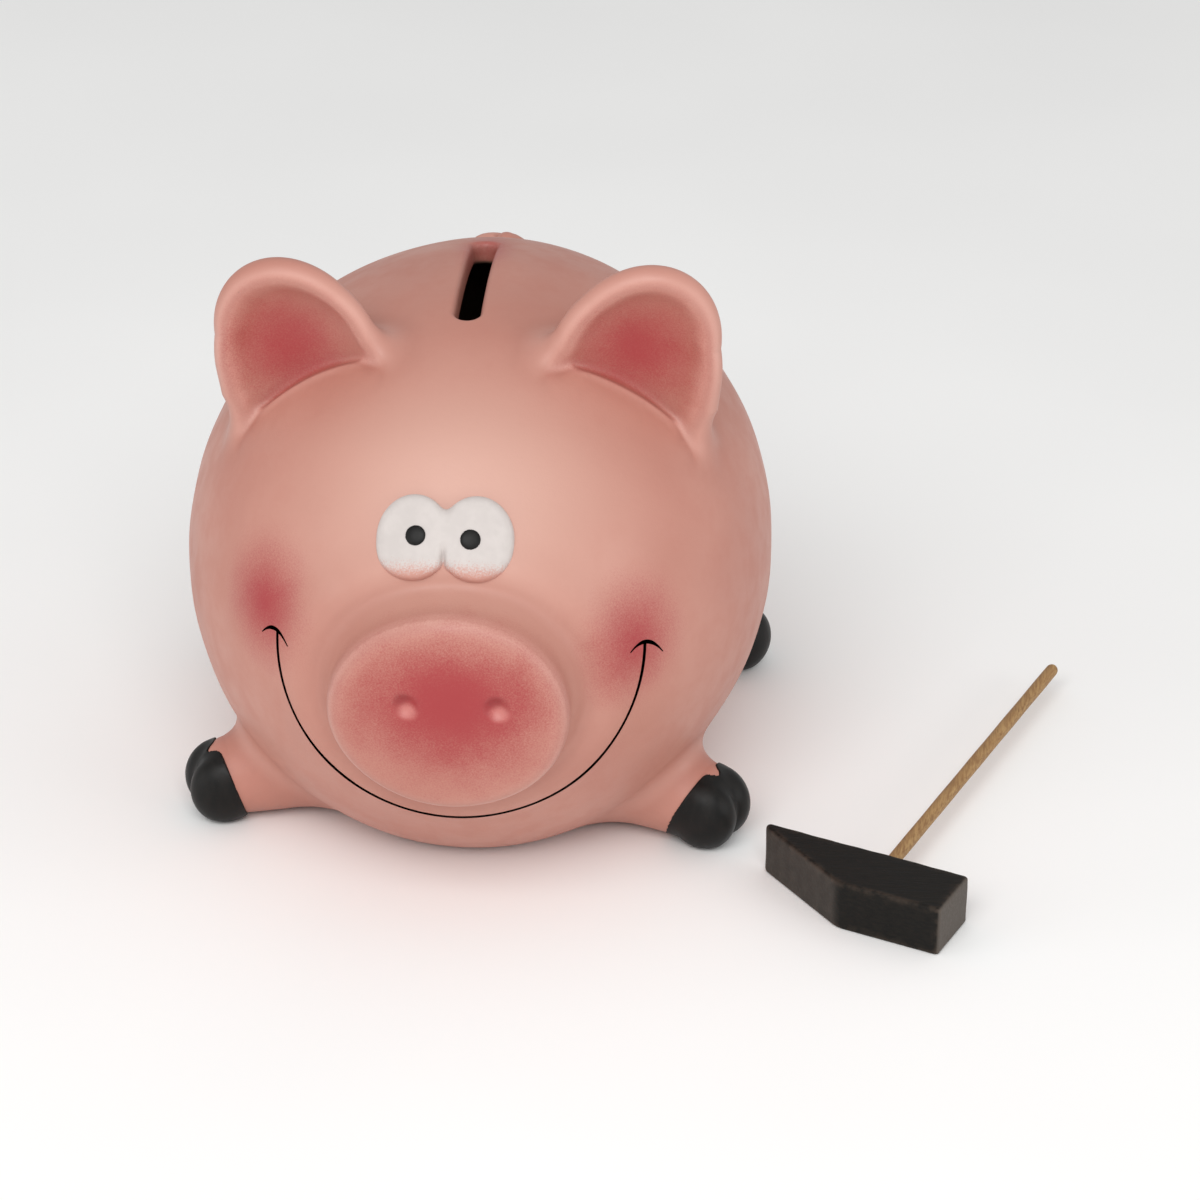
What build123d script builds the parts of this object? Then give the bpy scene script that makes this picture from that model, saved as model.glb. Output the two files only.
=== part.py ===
"""Pig-shaped ceramic coin bank with a belly stopper and the little wooden hammer that opens it.

Millimetres. +Z is up and the pig faces -Y. The origin is on the table, under the body's centre.
"""
from build123d import *
from math import cos, radians, sin, sqrt
import os

# ---- driving dimensions ----

# Egg-shaped body shell, turned about its long axis and cut flat underneath
BODY_RADIUS = 65.5
BODY_HALF_LENGTH = 80.0
BODY_CENTRE_Z = 54.5
POLE_FLAT = 0.05
WALL = 5.0
BASE_THICKNESS = 6.0

# Coin slot along the top
SLOT_LENGTH = 45.0
SLOT_WIDTH = 6.2
SLOT_START_Z = 80.0

# Pour hole in the base and the soft stopper in it
RECESS_RADIUS = 19.0
RECESS_DEPTH = 3.0
HOLE_RADIUS = 14.0
STOPPER_CLEARANCE = 0.05
STOPPER_PLUG_LENGTH = 6.0
STOPPER_FLANGE_RADIUS = 17.5
STOPPER_FLANGE_THICKNESS = 2.0
STOPPER_HOLLOW_RADIUS = 9.5
STOPPER_HOLLOW_START = 0.6
STOPPER_LEAD_IN = 1.2
STOPPER_ROUNDING = 0.6
PULL_TAB = (10.0, 2.4, 0.8)

# Ears: upright cupped ovals
EAR_CENTRE = (36.5, -26.5, 113.5)
EAR_HALF_HEIGHT = 20.5
EAR_HALF_WIDTH = 17.2
EAR_LEAN = 24.0
EAR_THICKNESS = 9.0
EAR_RIM_FILLET = 3.6
EAR_CUP_RADIUS = 21.0
EAR_CUP_DEPTH = 5.0

# Face
SNOUT_CENTRE_X = 1.0
SNOUT_CENTRE_Z = 53.5
SNOUT_HALF_WIDTH = 25.5
SNOUT_HALF_HEIGHT = 23.5
SNOUT_RISE = 7.5
SNOUT_DOME_RADIUS = 110.0
SNOUT_EDGE_FILLET = 3.5
NOSTRIL_SPACING = 19.2
NOSTRIL_CENTRE = (2.2, 58.5)
NOSTRIL_RADIUS = 3.2
EYE_CENTRE = (-0.6, -67.4, 88.2)
EYE_SPACING = 13.4
EYE_HALF_WIDTH = 7.6
EYE_HALF_HEIGHT = 9.0
EYE_RISE = 2.3
EYE_REACH = 12.0
PUPIL_SPACING = 11.6
PUPIL_RADIUS = 2.2
PUPIL_RISE = 0.5

# Limbs: a tapered stub on the floor with a two-lobed hoof at its end
HOOF_LOBE_RADIUS = 7.8
HOOF_LOBE_SPACING = 6.4
HOOF_LENGTH = 4.5
LEG_END_RADIUS = 9.6
LEG_ROOT_RADIUS = 16.0
LEG_ROOT_Z = 16.0
FOOT_PLACES = {
    "front_left": (-56.2, -35.0),
    "front_right": (54.6, -38.2),
    "rear_left": (-56.4, 44.9),
    "rear_right": (56.4, 44.9),
}
LEG_ROOT_PLACE = (20.0, 22.0)

# Curly tail lying on the back
TAIL_Y = 60.0
TAIL_COIL_RADIUS = 5.0
TAIL_ROPE_RADIUS = 2.7

# Hammer lying on its side beside the bank
HAMMER_CORNER = (111.2, -67.1)
HAMMER_TURN = 156.5
HEAD_LENGTH = 47.6
HEAD_WIDTH = 15.8
HEAD_HEIGHT = 11.6
HEAD_SQUARE_LENGTH = 23.8
HEAD_EDGE_FILLET = 0.5
PEEN_WIDTH = 1.8
HANDLE_RADIUS = 1.5
HANDLE_PLACE = 20.5
HANDLE_SOCKET_DEPTH = 9.0
HANDLE_REACH = 105.5
HANDLE_SKEW = 1.2
HANDLE_END_FILLET = 0.6

# ---- places worked out from them ----

BODY_AXIS = Axis((0, 0, BODY_CENTRE_Z), (0, 1, 0))
STOPPER_TOP_Z = RECESS_DEPTH - STOPPER_CLEARANCE


def egg_y(x, z):
    """How far forward of the centre the body's outer surface is, at a place across the face."""
    return BODY_HALF_LENGTH * sqrt(1 - (x**2 + (z - BODY_CENTRE_Z) ** 2) / BODY_RADIUS**2)


def egg_normal(x, y, z):
    """The outward direction of the body's outer surface near a point on it."""
    return Vector(
        x / BODY_RADIUS**2, y / BODY_HALF_LENGTH**2, (z - BODY_CENTRE_Z) / BODY_RADIUS**2
    ).normalized()


def egg(grow=0.0, mode=Mode.ADD):
    """The body's egg shape, grown outwards by a distance, in the part being built.

    Its two poles are very slightly flat, so that no face ends in a single point.
    """
    radius = BODY_RADIUS + grow
    half_length = BODY_HALF_LENGTH + grow
    with BuildSketch(Plane.XY.offset(BODY_CENTRE_Z), mode=Mode.PRIVATE) as profile:
        Ellipse(radius, half_length)
        Rectangle(radius, 2 * half_length, align=(Align.MAX, Align.CENTER), mode=Mode.SUBTRACT)
        with GridLocations(0, 2 * half_length, 1, 2):
            Rectangle(2 * radius, 2 * POLE_FLAT, mode=Mode.SUBTRACT)
    revolve(profile.sketch, axis=BODY_AXIS, mode=mode)


def finish(part, name):
    """Label a finished piece and write it."""
    part.label = name
    export_step(part, f"parts/{name}.step")


os.makedirs("parts", exist_ok=True)

# ---- body shell ----

with BuildPart() as chamber:
    egg(-WALL)
    split(bisect_by=Plane.XY.offset(BASE_THICKNESS), keep=Keep.TOP)

with BuildPart() as bank_shell:
    egg()
    split(bisect_by=Plane.XY, keep=Keep.TOP)
    add(chamber.part, mode=Mode.SUBTRACT)
    with BuildSketch(Plane.XY.offset(SLOT_START_Z)):
        SlotOverall(SLOT_LENGTH, SLOT_WIDTH, rotation=90)
    extrude(amount=BODY_RADIUS, mode=Mode.SUBTRACT)
    with BuildSketch(Plane.XY):
        Circle(RECESS_RADIUS)
    extrude(amount=RECESS_DEPTH, mode=Mode.SUBTRACT)
    with BuildSketch(Plane.XY):
        Circle(HOLE_RADIUS)
    extrude(amount=BASE_THICKNESS, mode=Mode.SUBTRACT)
finish(bank_shell.part, "bank_shell")

# ---- belly stopper: a hollow plug, a flange in the recess and a tab to pull ----

with BuildPart() as belly_stopper:
    with BuildSketch(Plane.XY.offset(STOPPER_TOP_Z)):
        Circle(HOLE_RADIUS - STOPPER_CLEARANCE)
    extrude(amount=STOPPER_PLUG_LENGTH)
    chamfer(belly_stopper.edges().group_by(Axis.Z)[-1], length=STOPPER_LEAD_IN)
    with BuildSketch(Plane.XY.offset(STOPPER_TOP_Z)):
        Circle(STOPPER_FLANGE_RADIUS)
    extrude(amount=-STOPPER_FLANGE_THICKNESS)
    fillet(belly_stopper.edges().group_by(Axis.Z)[0], radius=STOPPER_ROUNDING)
    with BuildSketch(Plane.XY.offset(STOPPER_TOP_Z + STOPPER_HOLLOW_START)):
        Circle(STOPPER_HOLLOW_RADIUS)
    extrude(amount=STOPPER_PLUG_LENGTH, mode=Mode.SUBTRACT)
    with Locations((0, 0, STOPPER_TOP_Z - STOPPER_FLANGE_THICKNESS)):
        Box(*PULL_TAB, align=(Align.CENTER, Align.CENTER, Align.MAX))
finish(belly_stopper.part, "belly_stopper")

# ---- ears ----

for name, side in (("left_ear", -1), ("right_ear", 1)):
    lean = radians(EAR_LEAN)
    ear_plane = Plane(
        origin=(side * EAR_CENTRE[0], EAR_CENTRE[1] + EAR_THICKNESS / 2, EAR_CENTRE[2]),
        x_dir=(side * sin(lean), 0, cos(lean)),
        z_dir=(0, -1, 0),
    )
    with BuildPart() as ear:
        with BuildSketch(ear_plane):
            Ellipse(EAR_HALF_HEIGHT, EAR_HALF_WIDTH)
        extrude(amount=EAR_THICKNESS)
        fillet(ear.edges(), radius=EAR_RIM_FILLET)
        cup_y = EAR_CENTRE[1] - EAR_THICKNESS / 2 - EAR_CUP_RADIUS + EAR_CUP_DEPTH
        with Locations((side * EAR_CENTRE[0], cup_y, EAR_CENTRE[2])):
            Sphere(EAR_CUP_RADIUS, mode=Mode.SUBTRACT)
        egg(mode=Mode.SUBTRACT)
    finish(ear.part, name)

# ---- snout ----

with BuildPart() as snout:
    with BuildSketch(Plane.XZ.offset(BODY_HALF_LENGTH / 2)):
        with Locations((SNOUT_CENTRE_X, SNOUT_CENTRE_Z)):
            Ellipse(SNOUT_HALF_WIDTH, SNOUT_HALF_HEIGHT)
    extrude(amount=BODY_HALF_LENGTH)
    with Locations((SNOUT_CENTRE_X, SNOUT_DOME_RADIUS - BODY_HALF_LENGTH - SNOUT_RISE, SNOUT_CENTRE_Z)):
        Sphere(SNOUT_DOME_RADIUS, mode=Mode.INTERSECT)
    fillet(snout.faces().sort_by(Axis.Y)[0].edges(), radius=SNOUT_EDGE_FILLET)
    for side in (-1, 1):
        nostril_x = NOSTRIL_CENTRE[0] + side * NOSTRIL_SPACING / 2
        nostril_y = -egg_y(nostril_x, NOSTRIL_CENTRE[1]) - SNOUT_RISE - NOSTRIL_RADIUS / 2
        with Locations((nostril_x, nostril_y, NOSTRIL_CENTRE[1])):
            Sphere(NOSTRIL_RADIUS, mode=Mode.SUBTRACT)
    egg(mode=Mode.SUBTRACT)
finish(snout.part, "snout")

# ---- eyes: one raised figure-eight pad and a glaze dot on each half ----

eye_normal = egg_normal(0, EYE_CENTRE[1], EYE_CENTRE[2])
eye_plane = Plane(origin=EYE_CENTRE, x_dir=(1, 0, 0), z_dir=eye_normal)

with BuildPart() as eye_whites:
    with BuildSketch(eye_plane.offset(-EYE_REACH)):
        with GridLocations(EYE_SPACING, 0, 2, 1):
            Ellipse(EYE_HALF_WIDTH, EYE_HALF_HEIGHT)
    extrude(amount=2 * EYE_REACH)
    egg(EYE_RISE, mode=Mode.INTERSECT)
    egg(mode=Mode.SUBTRACT)
finish(eye_whites.part, "eye_whites")

for name, side in (("left_pupil", -1), ("right_pupil", 1)):
    with BuildPart() as pupil:
        with BuildSketch(eye_plane):
            with Locations((side * PUPIL_SPACING / 2, 0)):
                Circle(PUPIL_RADIUS)
        extrude(amount=EYE_REACH)
        egg(EYE_RISE + PUPIL_RISE, mode=Mode.INTERSECT)
        egg(EYE_RISE, mode=Mode.SUBTRACT)
    finish(pupil.part, name)

# ---- legs and hooves ----

for name, (foot_x, foot_y) in FOOT_PLACES.items():
    root_x = LEG_ROOT_PLACE[0] if foot_x > 0 else -LEG_ROOT_PLACE[0]
    root_y = LEG_ROOT_PLACE[1] if foot_y > 0 else -LEG_ROOT_PLACE[1]
    root = Vector(root_x, root_y, LEG_ROOT_Z)
    foot = Vector(foot_x, foot_y, LEG_END_RADIUS)
    outward = Vector(foot_x - root_x, foot_y - root_y, 0).normalized()
    ankle = foot - outward * HOOF_LENGTH
    sideways = Vector(-outward.Y, outward.X, 0)
    leg_plane = Plane(origin=root, z_dir=ankle - root)
    ankle_plane = Plane(origin=ankle, z_dir=outward)

    with BuildPart() as leg:
        with Locations(leg_plane):
            Cone(
                LEG_ROOT_RADIUS,
                LEG_END_RADIUS - 0.4,
                (ankle - root).length + HOOF_LENGTH,
                align=(Align.CENTER, Align.CENTER, Align.MIN),
            )
        split(bisect_by=ankle_plane, keep=Keep.BOTTOM)
        split(bisect_by=Plane.XY, keep=Keep.TOP)
        egg(mode=Mode.SUBTRACT)
    finish(leg.part, f"{name}_leg")

    with BuildPart() as hoof:
        for lobe in (-1, 1):
            lobe_centre = foot + sideways * (lobe * HOOF_LOBE_SPACING / 2)
            lobe_centre.Z = HOOF_LOBE_RADIUS
            with Locations(Plane(origin=lobe_centre, x_dir=sideways * lobe, z_dir=outward)):
                Sphere(HOOF_LOBE_RADIUS)
        split(bisect_by=ankle_plane, keep=Keep.TOP)
    finish(hoof.part, f"{name}_hoof")

# ---- tail: one coil, half sunk in the back ----

tail_z = BODY_CENTRE_Z + BODY_RADIUS * sqrt(1 - (TAIL_Y / BODY_HALF_LENGTH) ** 2)
tail_normal = egg_normal(0, TAIL_Y, tail_z)
tail_plane = Plane(origin=(0, TAIL_Y, tail_z), x_dir=(1, 0, 0), z_dir=tail_normal)

with BuildPart() as tail:
    with Locations(tail_plane.offset(TAIL_ROPE_RADIUS / 2)):
        Torus(TAIL_COIL_RADIUS, TAIL_ROPE_RADIUS)
    egg(mode=Mode.SUBTRACT)
finish(tail.part, "tail")

# ---- hammer ----

head_plane = Plane(origin=(*HAMMER_CORNER, 0)).rotated((0, 0, HAMMER_TURN))

with BuildPart() as hammer_head:
    with BuildSketch(head_plane):
        with BuildLine():
            Polyline(
                (0, 0),
                (HEAD_LENGTH, 0),
                (HEAD_LENGTH, PEEN_WIDTH),
                (HEAD_SQUARE_LENGTH, HEAD_WIDTH),
                (0, HEAD_WIDTH),
                close=True,
            )
        make_face()
    extrude(amount=HEAD_HEIGHT)
    fillet(hammer_head.edges(), radius=HEAD_EDGE_FILLET)
    handle_mouth = head_plane.location * Location((HANDLE_PLACE, 0, HEAD_HEIGHT / 2), (90, HANDLE_SKEW, 0))
    with Locations(handle_mouth):
        Cylinder(
            HANDLE_RADIUS,
            2 * HANDLE_SOCKET_DEPTH,
            mode=Mode.SUBTRACT,
        )
finish(hammer_head.part, "hammer_head")

with BuildPart() as hammer_handle:
    with Locations(handle_mouth * Location((0, 0, -HANDLE_SOCKET_DEPTH))):
        Cylinder(
            HANDLE_RADIUS,
            HANDLE_SOCKET_DEPTH + HANDLE_REACH,
            align=(Align.CENTER, Align.CENTER, Align.MIN),
        )
    fillet(hammer_handle.edges(), radius=HANDLE_END_FILLET)
finish(hammer_handle.part, "hammer_handle")
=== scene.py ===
"""Looks for the ceramic pig coin bank and its little hammer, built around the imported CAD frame.

Every shape is a solid described by a signed distance in millimetres, negative inside, and turned into
a mesh that sits exactly on its zero surface. The pig's shell, ears, snout, legs and tail are one
continuous smoothed surface, cut into separate closed pieces where the blends between them end.
"""

import functools
import math

import bpy
import numpy as np
from mathutils import Matrix, Vector
from mathutils.geometry import tessellate_polygon

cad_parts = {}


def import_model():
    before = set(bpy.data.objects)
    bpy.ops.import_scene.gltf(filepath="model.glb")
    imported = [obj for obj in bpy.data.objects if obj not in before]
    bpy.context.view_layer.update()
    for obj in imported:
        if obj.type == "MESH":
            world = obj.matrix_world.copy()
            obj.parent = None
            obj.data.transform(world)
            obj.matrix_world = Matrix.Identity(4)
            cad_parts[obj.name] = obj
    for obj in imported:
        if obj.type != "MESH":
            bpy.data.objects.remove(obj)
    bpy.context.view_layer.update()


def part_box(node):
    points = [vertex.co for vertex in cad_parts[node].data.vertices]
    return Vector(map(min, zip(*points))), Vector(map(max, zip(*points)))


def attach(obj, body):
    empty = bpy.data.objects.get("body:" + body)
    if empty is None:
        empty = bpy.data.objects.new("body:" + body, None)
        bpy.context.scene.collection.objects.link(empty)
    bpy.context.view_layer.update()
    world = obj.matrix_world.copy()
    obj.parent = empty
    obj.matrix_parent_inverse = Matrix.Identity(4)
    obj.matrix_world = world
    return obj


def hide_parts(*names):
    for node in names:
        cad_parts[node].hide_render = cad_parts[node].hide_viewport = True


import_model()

MM = 0.001  # metres in a millimetre


# ---- sizes from the frame


def node_box(node):
    """Lowest and highest corner of a CAD node, in millimetres."""
    low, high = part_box(node)
    return np.array(low) / MM, np.array(high) / MM


def node_centre(node):
    low, high = node_box(node)
    return (low + high) / 2


shell_low, shell_high = node_box("bank_shell")
BODY_RADIUS = (shell_high[0] - shell_low[0]) / 2
BODY_HALF_LENGTH = (shell_high[1] - shell_low[1]) / 2
BODY_RADII = np.array([BODY_RADIUS, BODY_HALF_LENGTH, BODY_RADIUS])
BODY_CENTRE = np.array([0.0, 0.0, 54.5])
WALL = 5.0
BASE_THICKNESS = 6.0

SLOT_NEAR = -20.8
SLOT_FAR = 22.5
SLOT_X = -0.6
SLOT_HALF_WIDTH = 2.95
SLOT_DRAFT = 0.7
RECESS_RADIUS = 19.0
RECESS_DEPTH = 3.0
HOLE_RADIUS = 14.0

snout_low, snout_high = node_box("snout")
SNOUT_X = (snout_low[0] + snout_high[0]) / 2
SNOUT_RAISED = 1.7
SNOUT_FLATTER = 0.8
SNOUT_Z = (snout_low[2] + snout_high[2]) / 2 + SNOUT_RAISED
SNOUT_HALF_WIDTH = (snout_high[0] - snout_low[0]) / 2
SNOUT_HALF_HEIGHT = (snout_high[2] - snout_low[2]) / 2 - SNOUT_FLATTER
SNOUT_FRONT = -snout_low[1]
SNOUT_DOME_RADIUS = 95.0
SNOUT_DEPTH = 25.0
SNOUT_SIZE = (SNOUT_HALF_WIDTH + SNOUT_HALF_HEIGHT) / 2
# Round the snout: height, then place and width as shares of the snout's size
GROOVE = (0.65, 1.08, 0.09)
SWELLING = (0.95, 1.34, 0.17)
NOSTRIL_SPREAD = 9.6
NOSTRIL_MIDDLE = (2.2, 59.0)
NOSTRIL_RADII = (2.4, 1.9, 2.4)

EAR_CENTRE = (36.5, -26.5, 113.5)
EAR_LEAN = math.radians(24)
EAR_TURN = math.radians(8)
EAR_TILT = math.radians(-4)
EAR_RADII = (20.3, 17.2, 7.5)
EAR_TALLER = {-1: 1.0, 1: 1.07}
EAR_ROOT = 14.0
EAR_FLARE_START = 8.0
EAR_FLARE_LENGTH = 14.0
EAR_FLARE_OUT = 0.018
EAR_FLARE_IN = 0.005
CUP_RADII = (18.3, 15.3, 8.0)
CUP_FORWARD = 6.8
POCKET_FRONT = 1.0
POCKET_DEPTH = 0.9

EYE_CENTRE = (-0.6, -67.4, 88.2)
EYE_SPREAD = 6.6
EYE_RADII = (7.8, 9.1)
EYE_RISE = 2.3
PUPIL_SPREAD = 5.45
PUPIL_SHIFT = -0.15
PUPIL_DROP = {-1: 0.0, 1: 0.5}
PUPIL_RADIUS = 2.15
PUPIL_DOME = 0.55

FEET = ("front_left", "front_right", "rear_left", "rear_right")
LEG_ROOT = (20.0, 22.0, 17.5)
LEG_ROOT_RADIUS = 16.0
LEG_END_RADIUS = 9.1
LEG_END_BACK = 3.0
FOOT_INWARDS = 1.0
FOOT_TO_BACK = 2.0
FOOT_CENTRE_Z = 8.0
LOBE_RADII = (7.6, 5.7, 8.3)
LOBE_SPREAD = 3.4
# Where the black starts, behind the hoof's middle, and how much further back it reaches lower down
BLACK_EDGES = {foot: (3.4, 0.32) for foot in FEET}
BLACK_EDGES.update(front_left=(2.4, 0.32), front_right=(5.0, 0.5))
TONGUE_LENGTH = 2.7
TONGUE_WIDTH = 1.7
PAINT_STEP = 0.22

TAIL_X = -2.2
TAIL_Y = 60.0
TAIL_TURNS = 1.45
TAIL_OUTER = 5.6
TAIL_INNER = 2.0
TAIL_THICK = 2.7
TAIL_THIN = 1.8
TAIL_START = math.radians(-60)
TAIL_LOW = 2.1
TAIL_CLIMB = 1.6

HEAD_CORNER = (111.2, -67.1)
HEAD_TURN = math.radians(156.5)
HEAD_LENGTH = 47.6
HEAD_WIDTH = 15.8
HEAD_HEIGHT = 11.6
HEAD_SQUARE = 23.8
PEEN_WIDTH = 1.8
HEAD_EDGE = 0.9
HANDLE_PLACE = 20.5
HANDLE_SKEW = math.radians(1.2)
HANDLE_RADIUS = 1.5
HANDLE_REACH = 105.5
HANDLE_HIDDEN = 6.0


# ---- distance functions


def smooth_min(a, b, width):
    """Union of two solids with a fillet about `width` wide where they meet."""
    share = np.clip(0.5 + 0.5 * (b - a) / width, 0.0, 1.0)
    return b + (a - b) * share - width * share * (1.0 - share)


def smooth_max(a, b, width):
    """Intersection of two solids with its edge rounded over about `width`."""
    return -smooth_min(-a, -b, width)


def length(vectors):
    return np.sqrt((vectors * vectors).sum(-1))


def ellipsoid(p, centre, radii):
    """Distance to an ellipsoid, exact at its surface and close to it nearby."""
    q = (p - np.asarray(centre)) / np.asarray(radii)
    size = length(q)
    slope = np.maximum(length(q / np.asarray(radii)), 1e-9)
    return size * (size - 1.0) / slope


def rounded_cone(p, start, end, start_radius, end_radius):
    """A stub that tapers from one round end to the other."""
    start, end = np.asarray(start), np.asarray(end)
    axis = end - start
    along = np.clip((p - start) @ axis / (axis @ axis), 0.0, 1.0)
    return length(p - start - along[:, None] * axis) - (start_radius + (end_radius - start_radius) * along)


def upright_cylinder(p, radius):
    return np.hypot(p[:, 0], p[:, 1]) - radius


def local(p, origin, axes):
    """Points in the frame whose axes are the rows of `axes`."""
    return (p - np.asarray(origin)) @ np.asarray(axes).T


def turned_axes(*rows):
    """Three unit axes at right angles, from a main one and one near the second."""
    first = np.array(rows[0], float) / np.linalg.norm(rows[0])
    third = np.cross(first, rows[1])
    third /= np.linalg.norm(third)
    return np.array([first, np.cross(third, first), third])


# ---- the pig's own shapes


def egg(p, grow=0.0):
    return ellipsoid(p, BODY_CENTRE, BODY_RADII + grow)


def egg_point(x, z):
    """The point of the egg's front at a place across its face."""
    across = (x**2 + (z - BODY_CENTRE[2]) ** 2) / BODY_RADIUS**2
    return np.array([x, -BODY_HALF_LENGTH * math.sqrt(1 - across), z])


def egg_normal(point):
    slope = (point - BODY_CENTRE) / BODY_RADII**2
    return slope / np.linalg.norm(slope)


def snout_ring(p):
    """How far out from the snout's middle a place on the face is, as a share of the snout's size."""
    return np.hypot((p[:, 0] - SNOUT_X) / SNOUT_HALF_WIDTH, (p[:, 2] - SNOUT_Z) / SNOUT_HALF_HEIGHT)


def face_relief(p):
    """A shallow groove round the snout and a soft swelling outside it."""
    ring = snout_ring(p)
    in_front = 1 / (1 + np.exp((p[:, 1] + BODY_HALF_LENGTH / 2) / 3.0))
    groove, swelling = (
        height * np.exp(-(((ring - place) / width) ** 2)) for height, place, width in (GROOVE, SWELLING)
    )
    return in_front * (groove - swelling)


def snout_body(p):
    ring = snout_ring(p)
    side = (ring - 1.0) * SNOUT_SIZE
    bulge = (np.minimum(ring, 1.4) * SNOUT_SIZE) ** 2 / (2 * SNOUT_DOME_RADIUS)
    front = -SNOUT_FRONT + bulge - p[:, 1]
    back = p[:, 1] + SNOUT_FRONT - SNOUT_DEPTH
    return np.maximum(smooth_max(side, front, SNOUT_EDGE), back)


def nostril(p, side):
    x = NOSTRIL_MIDDLE[0] + side * NOSTRIL_SPREAD
    z = NOSTRIL_MIDDLE[1]
    ring = snout_ring(np.array([[x, 0.0, z]]))[0]
    y = -SNOUT_FRONT + (ring * SNOUT_SIZE) ** 2 / (2 * SNOUT_DOME_RADIUS)
    return ellipsoid(p, (x, y - 0.5, z), NOSTRIL_RADII)


@functools.lru_cache
def ear_axes(side):
    """An ear's own up, sideways and front directions."""
    up = np.array([side * math.sin(EAR_LEAN), math.sin(EAR_TILT), math.cos(EAR_LEAN)])
    front = np.array([side * math.sin(EAR_TURN), -math.cos(EAR_TURN), 0.0])
    return turned_axes(up, np.cross(front, up))


def in_ear(p, side):
    """Points in an ear's frame (up, inwards, forwards), with its long flared root taken out."""
    q = local(p, np.array(EAR_CENTRE) * [side, 1, 1], ear_axes(side))
    inward = q[:, 1] * side
    widened = np.clip(EAR_FLARE_START - q[:, 0], 0.0, EAR_FLARE_LENGTH)
    flare = 1 + widened * np.where(inward < 0, EAR_FLARE_OUT, EAR_FLARE_IN)
    up = np.maximum(q[:, 0], 0.0) / EAR_TALLER[side] + np.minimum(q[:, 0] + EAR_ROOT, 0.0)
    return np.stack([up, inward / flare, q[:, 2]], -1)


def ear_cup(q):
    """The hollow in the front of an ear, from points in the ear's frame."""
    return ellipsoid(q, (0, 0, CUP_FORWARD), CUP_RADII)


def ear_body(q):
    """An ear: an upright oval with a flared root, thinner towards its edge, less its hollow."""
    return smooth_max(ellipsoid(q, (0, 0, 0), EAR_RADII), -ear_cup(q), EAR_EDGE)


def with_ear(found, p, side):
    """Adds an ear with a wide fillet round it, but a crisp edge where its hollow meets the forehead."""
    q = in_ear(p, side)
    cup = ear_cup(q)
    outside_cup = 1 / (1 + np.exp(np.clip((1.0 - cup) / 0.6, -30, 30)))
    blend = EAR_BLEND_FRONT + (EAR_BLEND_BACK - EAR_BLEND_FRONT) * outside_cup
    found = smooth_min(found, ear_body(q), blend)
    pocket = smooth_max(smooth_max(cup, q[:, 2] - POCKET_FRONT, 1.5), -POCKET_DEPTH - egg(p), 2.0)
    return smooth_max(found, -pocket, 1.8)


@functools.lru_cache
def foot_place(foot):
    """A foot's centre, the root of its leg, and the way it points."""
    centre = node_centre(f"{foot}_hoof")
    root = np.array([*LEG_ROOT[:2], 0.0]) * np.sign(centre)
    outward = (centre - root) * [1, 1, 0]
    outward /= np.linalg.norm(outward)
    centre += [-np.sign(centre[0]) * FOOT_INWARDS, FOOT_TO_BACK, 0.0]
    centre[2], root[2] = FOOT_CENTRE_Z, LEG_ROOT[2]
    return centre, root, outward


def leg_body(p, foot):
    centre, root, outward = foot_place(foot)
    end = centre - outward * LEG_END_BACK
    end[2] = LEG_END_RADIUS
    return rounded_cone(p, root, end, LEG_ROOT_RADIUS, LEG_END_RADIUS)


def hoof_body(p, foot):
    """The leg's end swollen into two lobes with a cleft between, black from a slanting edge outwards."""
    centre, _, outward = foot_place(foot)
    axes = np.array([outward, [-outward[1], outward[0], 0.0], [0.0, 0.0, 1.0]])
    q = local(p, centre, axes)
    lobes = [ellipsoid(q, (0.0, s * LOBE_SPREAD, 0.0), LOBE_RADII) for s in (-1, 1)]
    found = smooth_min(leg_body(p, foot), smooth_min(*lobes, 0.8), 0.8) - PAINT_STEP
    tongue = TONGUE_LENGTH * np.exp(-((q[:, 1] / TONGUE_WIDTH) ** 2))
    start, slant = BLACK_EDGES[foot]
    edge = -start + slant * q[:, 2] + tongue - q[:, 0]
    found = smooth_max(found, edge * 0.8, 0.25)
    return smooth_max(found, -p[:, 2], 1.4)


def tail_path():
    """Centreline of the curly tail: a spiral that rises off the back, as points and radii."""
    out = (TAIL_X / BODY_RADIUS) ** 2 + (TAIL_Y / BODY_HALF_LENGTH) ** 2
    middle = np.array([TAIL_X, TAIL_Y, BODY_CENTRE[2] + BODY_RADIUS * math.sqrt(1 - out)])
    normal = egg_normal(middle)
    across = np.array([1.0, 0.0, 0.0])
    down = np.cross(normal, across)
    points, radii = [], []
    for t in np.linspace(0, 1, 30):
        angle = TAIL_START + TAIL_TURNS * 2 * math.pi * t
        out = TAIL_OUTER + (TAIL_INNER - TAIL_OUTER) * t
        rise = TAIL_LOW + TAIL_CLIMB * t
        points.append(middle + out * (math.cos(angle) * across + math.sin(angle) * down) + rise * normal)
        radii.append(TAIL_THICK + (TAIL_THIN - TAIL_THICK) * t)
    return points, radii


TAIL_POINTS, TAIL_RADII = tail_path()


def tail_body(p):
    middle = np.mean(TAIL_POINTS, axis=0)
    found = length(p - middle) - TAIL_OUTER
    near = found < TAIL_OUTER * 2
    q = p[near]
    if len(q):
        pairs = zip(TAIL_POINTS, TAIL_POINTS[1:], TAIL_RADII, TAIL_RADII[1:])
        runs = [rounded_cone(q, a, b, ra, rb) for a, b, ra, rb in pairs]
        found[near] = np.min(runs, axis=0)
    return found


UNEVEN_HEIGHT = 0.05
UNEVEN = np.random.default_rng(11)
UNEVEN_WAVES = [
    (UNEVEN.normal(size=3), UNEVEN.uniform(18, 45), UNEVEN.uniform(0, 2 * math.pi)) for _ in range(9)
]


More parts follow.
